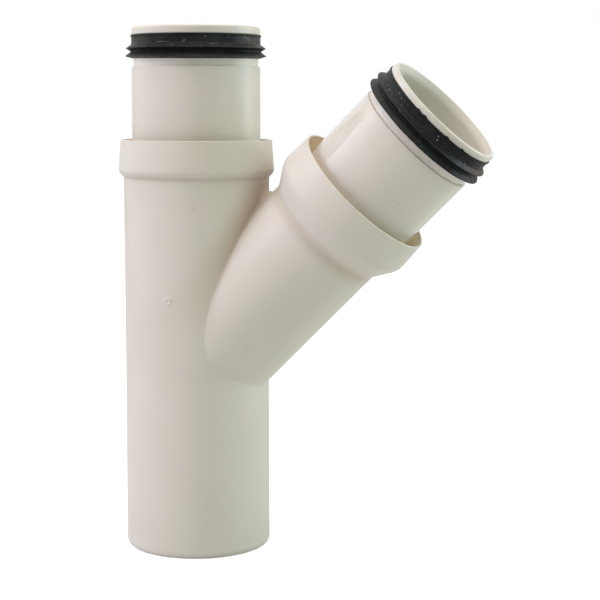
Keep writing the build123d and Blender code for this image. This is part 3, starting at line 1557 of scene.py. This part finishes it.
@dataclass(frozen=True)
class Studio:
    """Pale floor, white surroundings, soft lamps and the camera.

    The camera's distance, height and sensor and the shadow's reach are in millimetres, the other lengths in
    metres, and the angles in degrees.
    """

    aim: tuple[float, float, float] = (0.018, 0.0, 0.06)
    camera_azimuth: float = 23.1747
    camera_distance: float = 359.4215
    camera_height: float = 98.0
    camera_yaw: float = 3.6285
    camera_pitch: float = -6.8701
    camera_roll: float = 0.0917
    focal_pixels: float = 1628.0006
    frame_pixels: float = 600.0
    sensor: float = 36.0
    lamp_distance: float = 0.8
    lamp_watts: float = 4.0
    lamps: tuple[Lamp, ...] = (
        Lamp("far_left", -97, 12, 0.32, 0.8, (0.179, 0.173, 0.112)),
        Lamp("right", 63, 12, 0.32, 0.8, (0.105, 0.246, 0.171)),
        Lamp("far_right", 123, 12, 0.32, 0.8, (0.794, 1.038, 1.110)),
        Lamp("back_right", 143, 12, 0.32, 0.8, (0.311, 0.163, 0.085)),
        Lamp("overhead", 23, 88, 0.7, 0.7, (0.814, 0.792, 0.684)),
        Lamp("high_front", 23, 50, 0.6, 0.4, (0.577, 0.490, 0.502)),
        Lamp("high_left", -57, 35, 0.32, 0.6, (0.602, 0.577, 0.660), False),
    )
    window: Lamp = Lamp("window", -59, 27, 0.78, 0.71, (2.98, 3.25, 3.87))
    window_distance: float = 0.95
    floor_width: float = 12.0
    floor_grey: tuple[float, ...] = (0.8, 0.8, 0.8, 1.0)
    shadow_glow: tuple[float, ...] = (0.7, 0.7, 0.7)
    shadow_reach: tuple[float, float] = (30.0, 300.0)

    def camera(self) -> None:
        """Sets the camera up as the photograph was taken."""
        turn = math.radians(self.camera_azimuth)
        forward = Vector((-math.sin(turn), math.cos(turn), 0))
        right = Vector((math.cos(turn), math.sin(turn), 0))
        up = Vector((0, 0, 1))
        forward, right = turned_pair(forward, right, self.camera_yaw)
        forward, up = turned_pair(forward, up, self.camera_pitch)
        right, up = turned_pair(right, up, self.camera_roll)
        data = bpy.data.cameras.new("camera")
        data.sensor_width = self.sensor
        data.lens = self.focal_pixels / self.frame_pixels * self.sensor
        data.clip_start, data.clip_end = 0.01, 20.0
        camera = add_object("camera", data)
        reach = self.camera_distance * MM
        stand = Vector((math.sin(turn) * reach, -math.cos(turn) * reach, self.camera_height * MM))
        camera.matrix_world = Matrix.Translation(stand) @ Matrix((right, up, -forward)).transposed().to_4x4()
        bpy.context.scene.camera = camera

    def light(self) -> None:
        """Hangs the lamps round the fitting, out of the camera's sight."""
        for lamp in self.lamps:
            data = bpy.data.lights.new(lamp.name, "AREA")
            data.shape = "RECTANGLE"
            data.size, data.size_y = lamp.width, lamp.height
            data.energy = self.lamp_watts * lamp.strength
            data.color = lamp.hue
            light = add_object(lamp.name, data)
            light.matrix_world = lamp.stand(Vector(self.aim), self.lamp_distance)
            light.visible_camera = False
            light.visible_glossy = lamp.mirrored

    def open_window(self) -> None:
        """Hangs the window: a glowing sheet with one crisp side, fading towards the camera."""
        width = self.window.width
        sheet = flat_sheet(self.window.name, width, self.window.height)
        sheet.matrix_world = self.window.stand(Vector(self.aim), self.window_distance)
        sheet.visible_camera = False
        graph = Graph(bpy.data.materials.new("window_glow"))
        aside = graph.vector("DOT_PRODUCT", [graph.place, (1.0, 0.0, 0.0)], "Value")
        glow = graph.mix(self.window.hue, BLACK, aside.ramp(-width / 2, width * 0.75))
        emission = {"Color": glow, "Strength": self.window.strength}
        sheet.data.materials.append(graph.close("ShaderNodeEmission", emission))

    def surroundings(self) -> None:
        """Makes the world: white where it is looked at or mirrored, and no light of its own elsewhere."""
        world = bpy.data.worlds.new("surroundings")
        bpy.context.scene.world = world
        graph = Graph(world)
        rays = graph.node("ShaderNodeLightPath").outputs
        kinds = ("Camera", "Glossy", "Transmission")
        looked_at, mirrored, seen_through = (Value(graph, rays[f"Is {kind} Ray"]) for kind in kinds)
        strength = looked_at | mirrored | seen_through
        graph.close("ShaderNodeBackground", {"Color": WHITE, "Strength": strength})

    def floor(self) -> None:
        """Lays the pale floor, which the camera sees white but for the fitting's soft shadow."""
        floor = flat_sheet("floor", self.floor_width, self.floor_width)
        graph = Graph(bpy.data.materials.new("pale_floor"))
        away = graph.vector("LENGTH", [graph.place], "Value") / MM
        white = graph.mix(self.shadow_glow, WHITE, away.ramp(*self.shadow_reach))
        matt = graph.node("ShaderNodeBsdfDiffuse", {"Color": self.floor_grey})
        glow = graph.node("ShaderNodeEmission", {"Color": white, "Strength": 1.0})
        both = graph.node("ShaderNodeAddShader", {0: matt.outputs[0], 1: glow.outputs[0]})
        seen = graph.node("ShaderNodeLightPath").outputs["Is Camera Ray"]
        mixed = {0: seen, 1: matt.outputs[0], 2: both.outputs[0]}
        floor.data.materials.append(graph.close("ShaderNodeMixShader", mixed))


def main() -> None:
    """Builds the fitting, its finishes and the studio."""
    logging.basicConfig(level=logging.INFO, format="%(message)s")
    bpy.context.scene.view_settings.view_transform = "Standard"
    fitting = Fitting()
    fitting.build().data.materials.append(WarmPlastic().material(fitting))
    seals = (
        LipSeal(Lane.RUN, fitting.run_axis, fitting.seal_top(Lane.RUN), droop=-0.2, sag=0.3, seed=3),
        LipSeal(
            Lane.BRANCH,
            fitting.branch_axis,
            fitting.seal_top(Lane.BRANCH),
            droop=0.3,
            tip_round=0.12,
            teeth=(-95.0, -87.5, -62.5, -44.7),
            seed=8,
        ),
    )
    rubber = SealRubber().material(seals)
    for seal in seals:
        seal.build().data.materials.append(rubber)
    studio = Studio()
    studio.camera()
    studio.light()
    studio.open_window()
    studio.surroundings()
    studio.floor()


if __name__ == "__main__":
    main()
